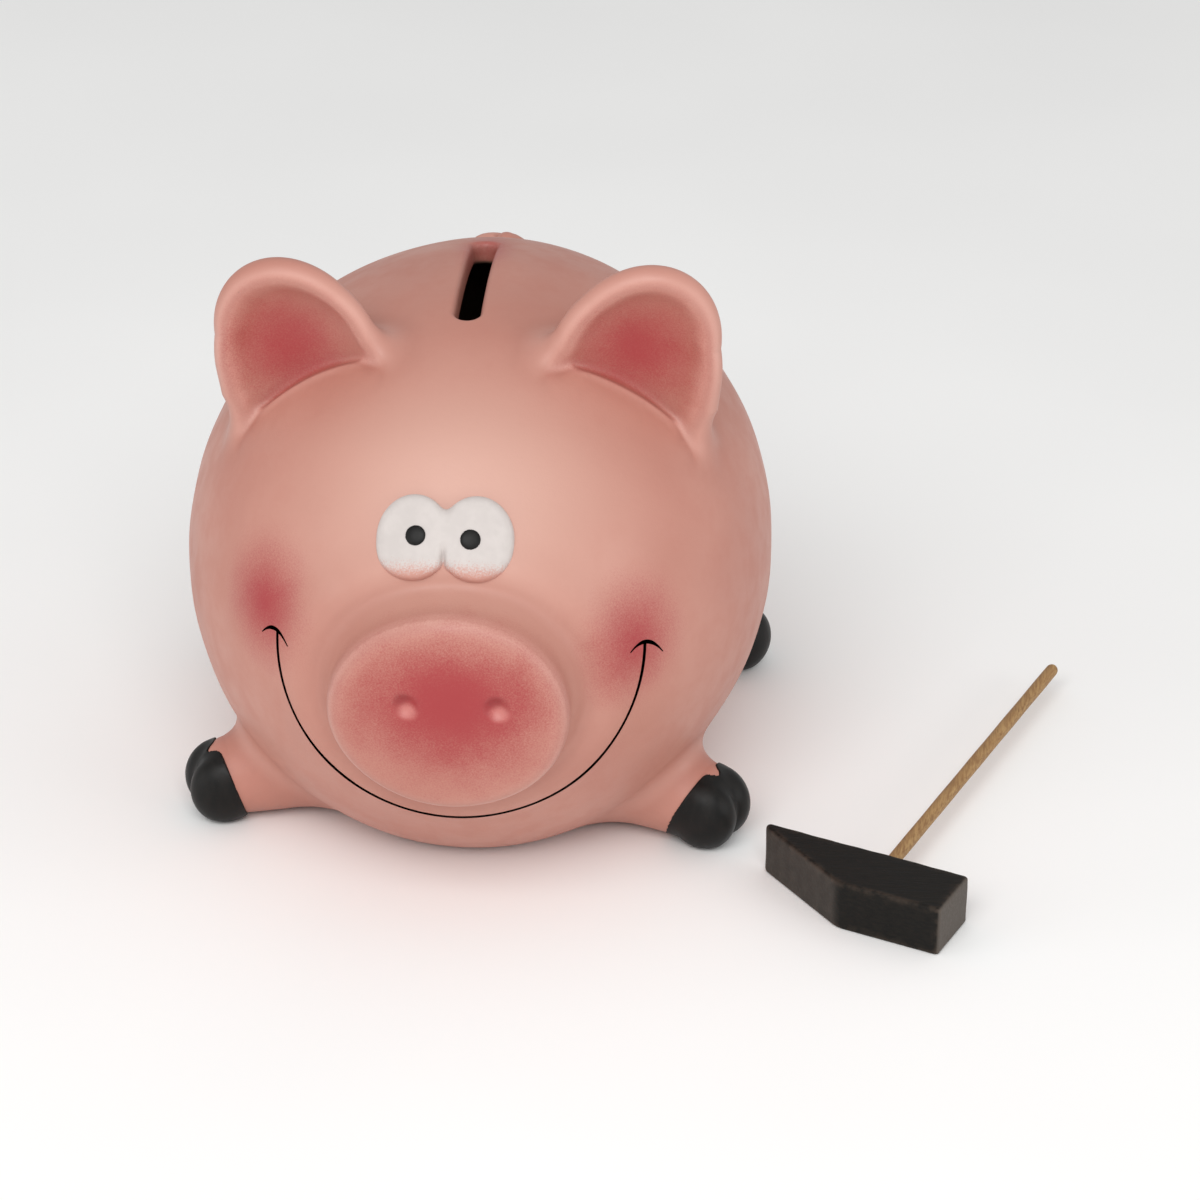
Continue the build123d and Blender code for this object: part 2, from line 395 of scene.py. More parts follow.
def unevenness(p):
    """The slight unevenness of a surface cast in a plaster mould and sponged by hand."""
    total = np.zeros(len(p))
    for direction, wavelength, phase in UNEVEN_WAVES:
        heading = direction / np.linalg.norm(direction)
        total += np.sin(p @ heading * (2 * math.pi / wavelength) + phase)
    return UNEVEN_HEIGHT * total


def own_shapes():
    """The pieces stuck on the shell, each as the piece's name and its own distance function."""
    shapes = {"snout": snout_body, "tail": tail_body}
    for name, side in (("left_ear", -1), ("right_ear", 1)):
        shapes[name] = lambda p, s=side: ear_body(in_ear(p, s))
    for foot in FEET:
        shapes[f"{foot}_leg"] = lambda p, f=foot: leg_body(p, f)
    return shapes


# Widths of the fillets round the stuck-on pieces, and of the rounding along the edges
SNOUT_BLEND = 4.5
TAIL_BLEND = 2.0
LEG_BLEND = 6.0
EAR_BLEND_BACK = 7.0
EAR_BLEND_FRONT = 1.6
SNOUT_EDGE = 4.0
NOSTRIL_EDGE = 1.3
EAR_EDGE = 2.2
SLOT_EDGE = 1.4
RECESS_EDGE = 0.8
BASE_EDGE = 1.6

# How far from its middle each piece can change the surface, fillet included
SNOUT_REACH = 50
EAR_REACH = 45
LEG_REACH = 48

# How far the caps that close the cut pieces dip into the clay
CAP_DIP = 0.6
# Where each piece is cut from the shell: its least height over the body, and how far past itself it reaches
CUTS = {"snout": (1.5, 2.5), "tail": (0.7, 1.0), "left_ear": (2.0, 3.0), "right_ear": (2.0, 3.0)}
CUTS.update({f"{foot}_leg": (2.0, 2.5) for foot in FEET})


def change_near(found, p, middle, reach, change):
    """Changes a field only within reach of a point, where the change can matter."""
    near = length(p - middle) < reach
    if near.any():
        found[near] = change(found[near], p[near])
    return found


def pig_outside(p):
    """The whole pink outside of the pig as one smoothed solid."""
    found = egg(p) + face_relief(p)
    face = np.array([SNOUT_X, -SNOUT_FRONT, SNOUT_Z])
    found = change_near(found, p, face, SNOUT_REACH, lambda f, q: smooth_min(f, snout_body(q), SNOUT_BLEND))
    for side in (-1, 1):
        dent = functools.partial(nostril, side=side)
        found = change_near(found, p, face, SNOUT_REACH, lambda f, q: smooth_max(f, -dent(q), NOSTRIL_EDGE))
        ear = np.array(EAR_CENTRE) * [side, 1, 1]
        found = change_near(found, p, ear, EAR_REACH, lambda f, q: with_ear(f, q, side))
    for foot in FEET:
        centre, root, _ = foot_place(foot)
        leg = functools.partial(leg_body, foot=foot)
        middle = (centre + root) / 2
        found = change_near(found, p, middle, LEG_REACH, lambda f, q: smooth_min(f, leg(q), LEG_BLEND))
    found = smooth_min(found, tail_body(p), TAIL_BLEND)
    return smooth_max(found + unevenness(p), -p[:, 2], BASE_EDGE)


def slot_room(p):
    """The room in the coin slot, a little narrower towards the chamber."""
    half_length = (SLOT_FAR - SLOT_NEAR) / 2
    q = np.abs(p[:, 1] - SLOT_NEAR - half_length) - (half_length - SLOT_HALF_WIDTH)
    draft = SLOT_DRAFT * np.clip(-egg(p) / WALL, 0.0, 1.0)
    across = np.hypot(p[:, 0] - SLOT_X, np.maximum(q, 0.0)) - SLOT_HALF_WIDTH + draft
    return np.maximum(across, BODY_CENTRE[2] + WALL - p[:, 2])


def pig_shell(p):
    """The hollow shell: the outside less the chamber, the slot and the belly hole."""
    chamber = smooth_max(egg(p, -WALL), BASE_THICKNESS - p[:, 2], 3.0)
    found = smooth_max(pig_outside(p), -chamber, 0.5)
    found = smooth_max(found, -slot_room(p), SLOT_EDGE)
    recess = np.maximum(upright_cylinder(p, RECESS_RADIUS), p[:, 2] - RECESS_DEPTH)
    found = smooth_max(found, -recess, RECESS_EDGE)
    hole = np.maximum(upright_cylinder(p, HOLE_RADIUS), p[:, 2] - BASE_THICKNESS - WALL)
    return smooth_max(found, -hole, 0.6)


# ---- turning a solid into a mesh


def slopes(field, p, reach=0.02):
    """Outward slope of a field at each point, by differences."""
    found = np.empty_like(p)
    for axis in range(3):
        step = np.zeros(3)
        step[axis] = reach
        found[:, axis] = (field(p + step) - field(p - step)) / (2 * reach)
    return found


def unit(vectors):
    return vectors / np.maximum(length(vectors), 1e-12)[:, None]


def onto_surface(field, p, furthest, rounds=4):
    """Moves points along the field's slope until they are on its zero surface."""
    for _ in range(rounds):
        slope = slopes(field, p)
        move = -field(p)[:, None] * slope / np.maximum((slope * slope).sum(-1), 0.05)[:, None]
        size = length(move)[:, None]
        p = p + move * np.minimum(1.0, furthest / np.maximum(size, 1e-12))
    return p


def surface_net(field, low, high, step):
    """A net of quads just over a field's zero surface, on a grid of cells, split into triangles."""
    low, high = np.asarray(low, float), np.asarray(high, float)
    axes = [np.arange(a, b + step, step) for a, b in zip(low, high)]
    grid = np.stack(np.meshgrid(*axes, indexing="ij"), -1)
    values = np.concatenate([field(slab.reshape(-1, 3)) for slab in grid]).reshape(grid.shape[:3])
    cells = tuple(n - 1 for n in values.shape)
    total, count = np.zeros((*cells, 3)), np.zeros(cells)
    edges = []
    for axis in range(3):
        near, far = [slice(None)] * 3, [slice(None)] * 3
        near[axis], far[axis] = slice(0, -1), slice(1, None)
        a, b = values[tuple(near)], values[tuple(far)]
        crossed = (a < 0) != (b < 0)
        share = np.where(crossed, a / np.where(crossed, a - b, 1.0), 0.0)
        points = grid[tuple(near)].copy()
        points[..., axis] += share * step
        others = [o for o in range(3) if o != axis]
        for first in (0, 1):
            for second in (0, 1):
                part = [slice(None)] * 3
                part[others[0]] = slice(first, cells[others[0]] + first)
                part[others[1]] = slice(second, cells[others[1]] + second)
                hit = crossed[tuple(part)]
                total += np.where(hit[..., None], points[tuple(part)], 0.0)
                count += hit
        edges.append((crossed, a < 0, others))
    used = count > 0
    number = np.full(cells, -1)
    number[used] = np.arange(used.sum())
    vertices = total[used] / count[used][:, None]
    triangles = []
    for axis, (crossed, starts_inside, others) in enumerate(edges):
        inner = crossed.copy()
        for o in others:
            edge_of_grid = [slice(None)] * 3
            for end in (0, -1):
                edge_of_grid[o] = end
                inner[tuple(edge_of_grid)] = False
        place = np.argwhere(inner)
        corners = []
        for first, second in ((1, 1), (0, 1), (0, 0), (1, 0)):
            cell = place.copy()
            cell[:, others[0]] -= first
            cell[:, others[1]] -= second
            corners.append(number[tuple(cell.T)])
        quads = np.stack(corners, -1)
        flip = starts_inside[inner] ^ (axis == 1)
        quads[~flip] = quads[~flip][:, ::-1]
        triangles += [quads[:, [0, 1, 2]], quads[:, [0, 2, 3]]]
    return vertices, np.concatenate(triangles)


def edge_list(triangles):
    """Each edge once, and for each triangle the numbers of its three edges."""
    pairs = np.sort(np.stack([triangles, np.roll(triangles, -1, axis=1)], -1).reshape(-1, 2), axis=1)
    edges, which = np.unique(pairs, axis=0, return_inverse=True)
    return edges, which.reshape(-1, 3)


def neighbours_middle(p, triangles):
    """For each vertex the middle of the vertices that it shares an edge with."""
    edges, _ = edge_list(triangles)
    total, count = np.zeros_like(p), np.zeros(len(p))
    for a, b in ((0, 1), (1, 0)):
        np.add.at(total, edges[:, a], p[edges[:, b]])
        np.add.at(count, edges[:, a], 1)
    return total / np.maximum(count, 1)[:, None]


def relax(field, p, triangles, furthest):
    """Evens out the net once, keeping it on the surface."""
    return onto_surface(field, 0.5 * p + 0.5 * neighbours_middle(p, triangles), furthest, rounds=2)


def refine(field, p, triangles, most_turn, shortest, furthest):
    """Splits the edges along which the surface turns by more than an angle."""
    edges, which = edge_list(triangles)
    normals = unit(slopes(field, p))
    turn = (normals[edges[:, 0]] * normals[edges[:, 1]]).sum(-1)
    long_enough = length(p[edges[:, 0]] - p[edges[:, 1]]) > shortest
    split = (turn < math.cos(most_turn)) & long_enough
    while (halfway := split[which].sum(1) == 2).any():
        split[which[halfway]] = True
    middles = onto_surface(field, p[edges[split]].mean(1), furthest, rounds=3)
    number = np.full(len(edges), -1)
    number[split] = len(p) + np.arange(split.sum())
    mids, marks = number[which], split[which]
    kept = [triangles[marks.sum(1) == 0]]
    for first in range(3):
        order = [first, (first + 1) % 3, (first + 2) % 3]
        one = (marks.sum(1) == 1) & marks[:, first]
        a, b, c = triangles[one][:, order].T
        m = mids[one][:, first]
        kept += [np.stack([a, m, c], 1), np.stack([m, b, c], 1)]
    every = marks.sum(1) == 3
    a, b, c = triangles[every].T
    ab, bc, ca = mids[every].T
    kept += [np.stack(t, 1) for t in ((a, ab, ca), (ab, b, bc), (ca, bc, c), (ab, bc, ca))]
    return np.concatenate([p, middles]), np.concatenate(kept)


# A triangle counts as folded where the cosine between it and the true surface is below this
FOLDED = 0.35


def untangle(field, p, triangles, furthest, rounds=10):
    """Evens out the few corners whose triangles have folded over."""
    watched = triangles
    for _ in range(rounds):
        corners = np.unique(watched)
        normals = np.zeros_like(p)
        normals[corners] = unit(slopes(field, p[corners]))
        a, b, c = (p[watched[:, i]] for i in range(3))
        facing = unit(np.cross(b - a, c - a))
        folded = ((facing[:, None] * normals[watched]).sum(-1) < FOLDED).any(1)
        if not folded.any():
            break
        moving = np.isin(triangles, watched[folded]).any(1)
        moving = np.unique(triangles[moving])
        watched = triangles[np.isin(triangles, moving).any(1)]
        middle = neighbours_middle(p, watched)[moving]
        p = p.copy()
        p[moving] = onto_surface(field, 0.3 * p[moving] + 0.7 * middle, furthest, rounds=3)
    return p


def solid_mesh(field, low, high, step, detail=3, most_turn=math.radians(9), shortest=0.35):
    """The whole recipe: vertices and triangles exactly on a field's zero surface."""
    p, triangles = surface_net(field, low, high, step)
    p = onto_surface(field, p, step / 2)
    p = relax(field, p, triangles, step / 2)
    p = untangle(field, p, triangles, step / 2)
    for _ in range(detail):
        p, triangles = refine(field, p, triangles, most_turn, shortest, step / 4)
    return untangle(field, p, triangles, step / 4), triangles


def close_holes(p, triangles, normals):
    """Closes each open rim of a piece with a cap that dips into the clay it is joined to."""
    directed = np.stack([triangles, np.roll(triangles, -1, axis=1)], -1).reshape(-1, 2)
    keys = {tuple(e) for e in directed.tolist()}
    after = {a: b for a, b in keys if (b, a) not in keys}
    caps, dipped = [], []
    while after:
        loop = list(after.popitem())
        while loop[-1] in after:
            loop.append(after.pop(loop[-1]))
        if loop[0] != loop[-1] or len(loop) < 4:
            continue
        rim = loop[:-1]
        inner = [len(p) + len(dipped) + i for i in range(len(rim))]
        dipped += rim
        deep = p[rim] - CAP_DIP * normals[rim]
        cap = [[inner[i] for i in face] for face in tessellate_polygon([[Vector(q) for q in deep]])]
        round_rim = list(zip(rim, rim[1:] + rim[:1], inner, inner[1:] + inner[:1]))
        forward = {(c, d) for _, _, c, d in round_rim}
        matching = any((f[i], f[(i + 1) % 3]) in forward for f in cap for i in range(3))
        caps += [face[::-1] for face in cap] if matching else cap
        caps += [face for a, b, c, d in round_rim for face in ([b, a, c], [b, c, d])]
    if not caps:
        return p, triangles, np.arange(len(p))
    source = np.concatenate([np.arange(len(p)), dipped])
    closed = np.concatenate([p, p[dipped] - CAP_DIP * normals[dipped]])
    return closed, np.concatenate([triangles, np.array(caps)]), source


def patches(count, edges):
    """Numbers the connected patches of a mesh."""
    label = np.arange(count)
    while True:
        least = label[edges].min(1)
        joined = label.copy()
        np.minimum.at(joined, edges[:, 0], least)
        np.minimum.at(joined, edges[:, 1], least)
        joined = joined[joined[joined]]
        if (joined == label).all():
            return label
        label = joined


def without_islands(owner, edges):
    """Gives each piece's stray islands to the piece round them."""
    same = owner[edges[:, 0]] == owner[edges[:, 1]]
    label = patches(len(owner), edges[same])
    sizes = np.bincount(label, minlength=len(owner))
    largest = {n: label[owner == n][np.argmax(sizes[label[owner == n]])] for n in np.unique(owner)}
    stray = np.array([largest[n] for n in owner.tolist()]) != label
    border = edges[~same]
    takeover = owner.copy()
    for here, there in (border.T, border[:, ::-1].T):
        outgoing = stray[here] & ~stray[there]
        takeover[label[here[outgoing]]] = owner[there[outgoing]]
    return np.where(stray, takeover[label], owner)


def only_used(p, triangles, *others):
    """Drops the vertices that no triangle uses."""
    used = np.unique(triangles)
    number = np.full(len(p), -1)
    number[used] = np.arange(len(used))
    return (p[used], number[triangles], *[o[used] for o in others])


def new_object(name, data):
    item = bpy.data.objects.new(name, data)
    bpy.context.scene.collection.objects.link(item)
    return item


def make_piece(name, p, triangles, normals, body, material, stands_for=(), values=None):
    """A mesh object in the row frame that rides on a body."""
    mesh = bpy.data.meshes.new(name)
    mesh.from_pydata((p * MM).tolist(), [], triangles.tolist())
    mesh.update()
    mesh.shade_smooth()
    mesh.normals_split_custom_set_from_vertices(normals.tolist())
    for key, numbers in (values or {}).items():
        attribute = mesh.attributes.new(key, "FLOAT", "POINT")
        attribute.data.foreach_set("value", numbers.astype(np.float32))
    mesh.materials.append(material)
    piece = new_object(name, mesh)
    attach(piece, body)
    if stands_for:
        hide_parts(*stands_for)
    return piece


def field_piece(name, field, low, high, step, body, material, stands_for=(), detail=3, values=None):
    """One closed piece straight from its field."""
    p, triangles = solid_mesh(field, low, high, step, detail)
    normals = unit(slopes(field, p))
    numbers = values(p, normals) if values else None
    return make_piece(name, p, triangles, normals, body, material, stands_for, numbers)


# ---- materials


class Nodes:
    """Short ways to add nodes to one material."""

    def __init__(self, name):
        self.material = bpy.data.materials.new(name)
        self.material.use_nodes = True
        self.tree = self.material.node_tree
        self.shader = self.tree.nodes["Principled BSDF"]
        place = self.node("TexCoord").outputs["Object"]
        self.place = self.node("VectorMath", place, operation="SCALE", Scale=1 / MM).outputs[0]

    def put(self, value, socket):
        """Links a socket's value, or sets a plain number or colour."""
        if isinstance(value, bpy.types.NodeSocket):
            self.tree.links.new(value, socket)
        else:
            socket.default_value = value

    def node(self, kind, *values, operation=None, **named):
        """A new node with its first inputs and its named ones linked or set."""
        node = self.tree.nodes.new("ShaderNode" + kind)
        if operation:
            node.operation = operation
        for value, socket in zip(values, node.inputs):
            self.put(value, socket)
        for name, value in named.items():
            self.put(value, node.inputs[name])
        return node

    def vector_math(self, operation, *values):
        return self.node("VectorMath", *values, operation=operation)

    def math(self, operation, *values, clamp=False):
        node = self.node("Math", *values, operation=operation)
        node.use_clamp = clamp
        return node.outputs[0]

    def sway(self, value, reach):
        """Noise from 0 to 1 turned into one around zero."""
        return self.math("MULTIPLY", self.math("SUBTRACT", value, 0.5), reach)

    def noise(self, size, detail=2.0, roughness=0.5, place=None):
        """Noise from 0 to 1 whose blobs are about `size` millimetres across."""
        place = place or self.place
        node = self.node("TexNoise", Vector=place, Scale=1 / size, Detail=detail, Roughness=roughness)
        return node.outputs["Fac"]

    def ramp(self, value, low, high, to_low=0.0, to_high=1.0):
        """Eases from one number to another as the value goes from low to high."""
        node = self.node("MapRange", value, low, high, to_low, to_high)
        node.interpolation_type = "SMOOTHSTEP"
        return node.outputs["Result"]

    def mix(self, share, first, second):
        node = self.node("Mix")
        node.data_type = "RGBA"
        self.put(share, node.inputs["Factor"])
        self.put(first, node.inputs["A"])
        self.put(second, node.inputs["B"])
        return node.outputs["Result"]

    def attribute(self, name):
        node = self.node("Attribute")
        node.attribute_name = name
        return node.outputs["Fac"]

    def stretched(self, scale, turn=0.0):
        """The place, squeezed along the axes, for grain."""
        return self.node("Mapping", Vector=self.place, Rotation=(0, 0, turn), Scale=scale).outputs[0]

    def distance(self, centre, radii):
        """Distance from a centre, as a share of an oval's size."""
        moved = self.vector_math("SUBTRACT", self.place, centre)
        squeezed = self.vector_math("DIVIDE", moved.outputs[0], radii)
        return self.vector_math("LENGTH", squeezed.outputs[0]).outputs["Value"]

    def bump(self, height, depth, after=None):
        """Surface detail of a real depth in millimetres."""
        below = {} if after is None else {"Normal": after}
        node = self.node("Bump", Strength=1.0, Distance=depth * MM, Height=height, **below)
        return node.outputs["Normal"]

    def finish(self, colour, roughness, normal=None, specular=0.5):
        self.put(colour, self.shader.inputs["Base Color"])
        self.put(roughness, self.shader.inputs["Roughness"])
        self.shader.inputs["Specular IOR Level"].default_value = specular
        if normal is not None:
            self.put(normal, self.shader.inputs["Normal"])
        return self.material


def rgb(red, green, blue):
    """A colour as the eye reads it, from 0 to 255, as the shader's linear colour."""
    linear = []
    for part in (red, green, blue):
        share = part / 255
        linear.append(share / 12.92 if share <= 0.04045 else ((share + 0.055) / 1.055) ** 2.4)
    return (*linear, 1.0)


def pink_ceramic():
    """Matt airbrushed pink: speckled red blushes, a painted highlight on the forehead and the ridges, painted
    shade in the hollows, and painted shade and highlight at the nostrils.
    """
    n = Nodes("pink_ceramic")
    cloud = n.noise(28.0, detail=3)
    patch = n.noise(7.0, detail=3)
    speck = n.noise(0.34, detail=2, roughness=0.7)
    grain = n.noise(1.1, detail=3, roughness=0.6)
    colour = n.mix(n.ramp(cloud, 0.35, 0.65), rgb(184, 125, 110), rgb(190, 133, 118))
    colour = n.mix(n.ramp(patch, 0.4, 0.75, 0.0, 0.25), colour, rgb(178, 114, 100))
    # Painted highlight: the forehead is made paler where the key light falls on it most.
    painted_forehead_highlight = n.math("ADD", n.distance((2.0, -60.0, 94.0), (54.0, 44.0, 42.0)), n.math("MULTIPLY", cloud, 0.15))
    colour = n.mix(n.ramp(painted_forehead_highlight, 1.05, 0.1, 0.0, 0.95), colour, rgb(208, 163, 148))
    # Painted light: ridges are made paler as a painted highlight, hollows darker as painted shade.
    ridge = n.attribute("ridge")
    hollow = n.attribute("hollow")
    colour = n.mix(n.math("MULTIPLY", ridge, 0.9, clamp=True), colour, rgb(226, 176, 162))
    colour = n.mix(n.math("MULTIPLY", hollow, 0.45, clamp=True), colour, rgb(150, 92, 78))
    red = rgb(160, 50, 53)
    mist = n.sway(speck, 0.7)
    wobble = n.math("ADD", mist, n.sway(patch, 0.35))
    for centre, radii, strength in BLUSHES + EAR_BLUSHES:
        spread = n.math("ADD", n.distance(centre, radii), wobble)
        share = n.ramp(spread, 1.0, 0.0, 0.0, strength)
        if (centre, radii, strength) in EAR_BLUSHES:
            share = n.math("MULTIPLY", n.attribute("in_cup"), share)
        colour = n.mix(share, colour, red)
    bare = n.ramp(n.distance(tuple(BODY_CENTRE), tuple(BODY_RADII - WALL * 0.8)), 1.0, 0.99)
    colour = n.mix(bare, colour, rgb(120, 92, 76))
    for side in (-1, 1):
        x, z = NOSTRIL_MIDDLE[0] + side * NOSTRIL_SPREAD, NOSTRIL_MIDDLE[1]
        # Painted shade in the upper part of each nostril's dent, and a painted highlight just below it.
        shade = n.ramp(n.distance((x - 0.7, -86.0, z + 1.2), (2.4, 6.0, 2.4)), 1.0, 0.3, 0.0, 0.3)
        colour = n.mix(shade, colour, rgb(128, 40, 44))
        below = n.math("ADD", n.distance((x + 0.5, -86.0, z - 1.5), (2.6, 6.0, 2.0)), mist)
        colour = n.mix(n.ramp(below, 1.1, 0.2, 0.0, 0.5), colour, rgb(222, 150, 140))
    fine = n.bump(grain, 0.035)
    normal = n.bump(speck, 0.018, fine)
    roughness = n.ramp(patch, 0.3, 0.7, 0.42, 0.54)
    return n.finish(colour, roughness, normal, specular=0.5)


def black_glaze():
    """Satin black, brushed on: faint streaks and a dusty bloom."""
    n = Nodes("black_glaze")
    streak = n.noise(2.2, detail=4, place=n.stretched((1.0, 1.0, 0.35)))
    dust = n.noise(0.5, detail=2)
    colour = n.mix(n.ramp(streak, 0.35, 0.75), rgb(12, 11, 10), rgb(24, 22, 20))
    colour = n.mix(n.ramp(dust, 0.62, 0.8, 0.0, 0.25), colour, rgb(48, 44, 40))
    normal = n.bump(streak, 0.05)
    return n.finish(colour, n.ramp(streak, 0.3, 0.7, 0.38, 0.52), normal, specular=0.25)


def white_glaze():
    """Matt white with pink overspray that creeps up from the lower edge."""
    n = Nodes("white_glaze")
    speck = n.noise(0.36, detail=2, roughness=0.75)
    patch = n.noise(3.0, detail=2)
    colour = n.mix(n.ramp(patch, 0.3, 0.7), rgb(196, 188, 184), rgb(203, 195, 191))
    edge = n.attribute("edge")
    spread = n.math("ADD", edge, n.sway(speck, 1.1))
    colour = n.mix(n.ramp(spread, 0.42, 0.95, 0.0, 0.85), colour, rgb(196, 134, 118))
    normal = n.bump(n.noise(0.9, detail=3), 0.02)
    return n.finish(colour, n.ramp(patch, 0.3, 0.7, 0.45, 0.6), normal, specular=0.35)


def mouth_paint():
    """Thin black paint laid on with a fine brush."""
    n = Nodes("mouth_paint")
    streak = n.noise(1.4, detail=3)
    colour = n.mix(n.ramp(streak, 0.35, 0.75), rgb(26, 22, 20), rgb(60, 46, 40))
    return n.finish(colour, n.ramp(streak, 0.3, 0.7, 0.4, 0.6), n.bump(streak, 0.02), specular=0.4)


def stopper_rubber():
    """Soft translucent-looking rubber, a little dusty."""
    n = Nodes("stopper_rubber")
    patch = n.noise(6.0, detail=3)
    dust = n.noise(0.6, detail=2)
    colour = n.mix(n.ramp(patch, 0.3, 0.7), rgb(205, 200, 192), rgb(216, 212, 204))
    colour = n.mix(n.ramp(dust, 0.6, 0.8, 0.0, 0.35), colour, rgb(170, 162, 152))
    normal = n.bump(n.noise(0.8, detail=3), 0.03)
    return n.finish(colour, n.ramp(patch, 0.3, 0.7, 0.55, 0.7), normal, specular=0.4)


def stained_wood():
    """Close-grained wood stained black, with the stain rubbed thin on its edges and a painted reflection
    lightening its end and sloping faces.
    """
    n = Nodes("black_stained_wood")
    grain = n.noise(0.7, detail=5, roughness=0.65, place=n.stretched((0.12, 1.0, 1.0), -HEAD_TURN))
    pore = n.noise(0.35, detail=2, place=n.stretched((0.1, 1.0, 1.0), -HEAD_TURN))
    wear = n.noise(2.4, detail=4)
    colour = n.mix(n.ramp(grain, 0.35, 0.7), rgb(12, 10, 8), rgb(27, 24, 20))
    # Painted reflection: the end and sloping faces are made lighter where they catch the light, its edge
    # broken up by the wear noise.
    painted_end_reflection = n.math("ADD", n.attribute("painted_end_reflection"), n.sway(wear, 0.2))
    colour = n.mix(n.ramp(painted_end_reflection, 0.1, 1.0), colour, rgb(86, 79, 73))
    rubbed = n.math("MULTIPLY", n.attribute("ridge"), n.ramp(wear, 0.35, 0.6), clamp=True)
    colour = n.mix(n.math("MULTIPLY", rubbed, 0.6), colour, rgb(96, 80, 68))
    fine = n.bump(pore, 0.06)
    normal = n.bump(grain, 0.09, fine)
    return n.finish(colour, n.ramp(grain, 0.3, 0.7, 0.55, 0.7), normal, specular=0.2)


def pale_wood():
    """A bare dowel: long straight grain with short dark flecks."""
    n = Nodes("pale_wood")
    turn = -(HEAD_TURN + HANDLE_SKEW)
    grain = n.noise(0.5, detail=5, roughness=0.6, place=n.stretched((1.0, 0.04, 1.0), turn))
    fleck = n.noise(0.32, detail=1, place=n.stretched((1.0, 0.09, 1.0), turn))
    band = n.noise(9.0, detail=2)
    colour = n.mix(n.ramp(grain, 0.3, 0.7), rgb(134, 98, 60), rgb(172, 138, 92))
    colour = n.mix(n.ramp(fleck, 0.6, 0.72, 0.0, 0.5), colour, rgb(108, 76, 46))
    colour = n.mix(n.ramp(band, 0.4, 0.7, 0.0, 0.3), colour, rgb(158, 118, 74))
    normal = n.bump(grain, 0.05)
    return n.finish(colour, n.ramp(grain, 0.3, 0.7, 0.55, 0.7), normal, specular=0.35)


# Red blushes on the pink: centre, size each way and strength
EAR_BLUSHES = [
    ((-39.0, -27.0, 111.0), (15.0, 16.0, 16.0), 1.0),
    ((36.5, -27.0, 113.5), (15.5, 16.0, 16.0), 1.0),
    ((-38.0, -27.0, 113.0), (26.0, 16.0, 26.0), 0.6),
    ((37.0, -27.0, 114.0), (26.0, 16.0, 26.0), 0.6),
]
BLUSHES = [
    ((-39.8, -61.0, 68.5), (15.5, 20.0, 18.5), 1.0),
    ((37.6, -62.0, 63.5), (15.5, 20.0, 17.5), 1.0),
    ((2.2, -87.0, 60.0), (24.0, 12.0, 16.0), 1.0),
    ((2.0, -87.0, 58.0), (35.0, 17.0, 27.5), 0.95),
    ((0.0, 18.0, 119.0), (8.0, 24.0, 9.0), 0.7),
]

PINK = pink_ceramic()
BLACK = black_glaze()
WHITE = white_glaze()
MOUTH = mouth_paint()
RUBBER = stopper_rubber()
STAINED = stained_wood()
PALE = pale_wood()


# ---- pig: shell and what is stuck on it


def ridges_and_hollows(field, p, normals, reach=2.4):
    """How much of a ridge and of a hollow each place is, from 0 to 1."""
    below = field(p - normals * reach)
    above = field(p + normals * reach)
    ridge = np.clip((below + reach) / reach * 1.6 - 0.12, 0, 1)
    hollow = np.clip((reach - above) / reach * 2.0, 0, 1)
    return {"ridge": ridge, "hollow": hollow}


def build_pig():
    """Meshes the whole pink surface once and cuts it into the shell and the pieces stuck on it."""
    margin = 4.0
    low = np.array([shell_low[0], -SNOUT_FRONT, 0.0]) - margin
    high = np.array([shell_high[0], shell_high[1], node_box("left_ear")[1][2]]) + margin
    p, triangles = solid_mesh(pig_shell, low, high, 1.7, detail=3)
    normals = unit(slopes(pig_shell, p))
    # The ridge and hollow values carry the painted highlight on the pig's ridges and the painted shade in its
    # hollows.
    values = ridges_and_hollows(pig_outside, p, normals)
    cup = np.min([np.abs(ear_cup(in_ear(p, side))) for side in (-1, 1)], axis=0)
    values["in_cup"] = np.exp(-((cup / 1.8) ** 2)) * (p[:, 2] > BODY_CENTRE[2])
    # A painted highlight line along the snout's rim, added to the ridge value.
    rim = np.exp(-(((snout_ring(p) - 0.965) / 0.035) ** 2)) * (p[:, 1] < egg_point(SNOUT_X, SNOUT_Z)[1] - 3)
    values["ridge"] = np.maximum(values["ridge"], 0.55 * rim)
    outer = pig_outside(p) > -0.3
    height = egg(p)
    owner = np.zeros(len(p), int)
    shapes = own_shapes()
    names = ["bank_shell", *shapes]
    for number, name in enumerate(names[1:], start=1):
        least_height, reach = CUTS[name]
        owner[outer & (height > least_height) & (shapes[name](p) < reach)] = number
    owner = without_islands(owner, edge_list(triangles)[0])
    corners = owner[triangles]
    face_owner = np.where((corners == corners[:, :1]).all(1), corners[:, 0], 0)
    for number, name in enumerate(names):
        part, faces, part_normals, *mine = only_used(
            p, triangles[face_owner == number], normals, *values.values()
        )
        part, faces, source = close_holes(part, faces, part_normals)
        numbers = {key: numbers[source] for key, numbers in zip(values, mine)}
        make_piece(
            f"{name}_clay", part, faces, part_normals[source], "bank", PINK, [name], numbers
        )


build_pig()


def hooves():
    for foot in FEET:
        low, high = node_box(f"{foot}_hoof")
        field_piece(
            f"{foot}_hoof_black", lambda p, f=foot: hoof_body(p, f), low - 6, high + 6, 1.1,
            "bank", BLACK, [f"{foot}_hoof"], detail=2,
        )


hooves()


# ---- pig: eyes and mouth

eye_point = np.array(EYE_CENTRE)
eye_front = unit((egg_normal(eye_point) * [0, 1, 1])[None])[0]
eye_up = np.cross(eye_front, [1.0, 0.0, 0.0])
EYE_AXES = np.array([[1.0, 0.0, 0.0], eye_up * np.sign(eye_up[2]), eye_front])


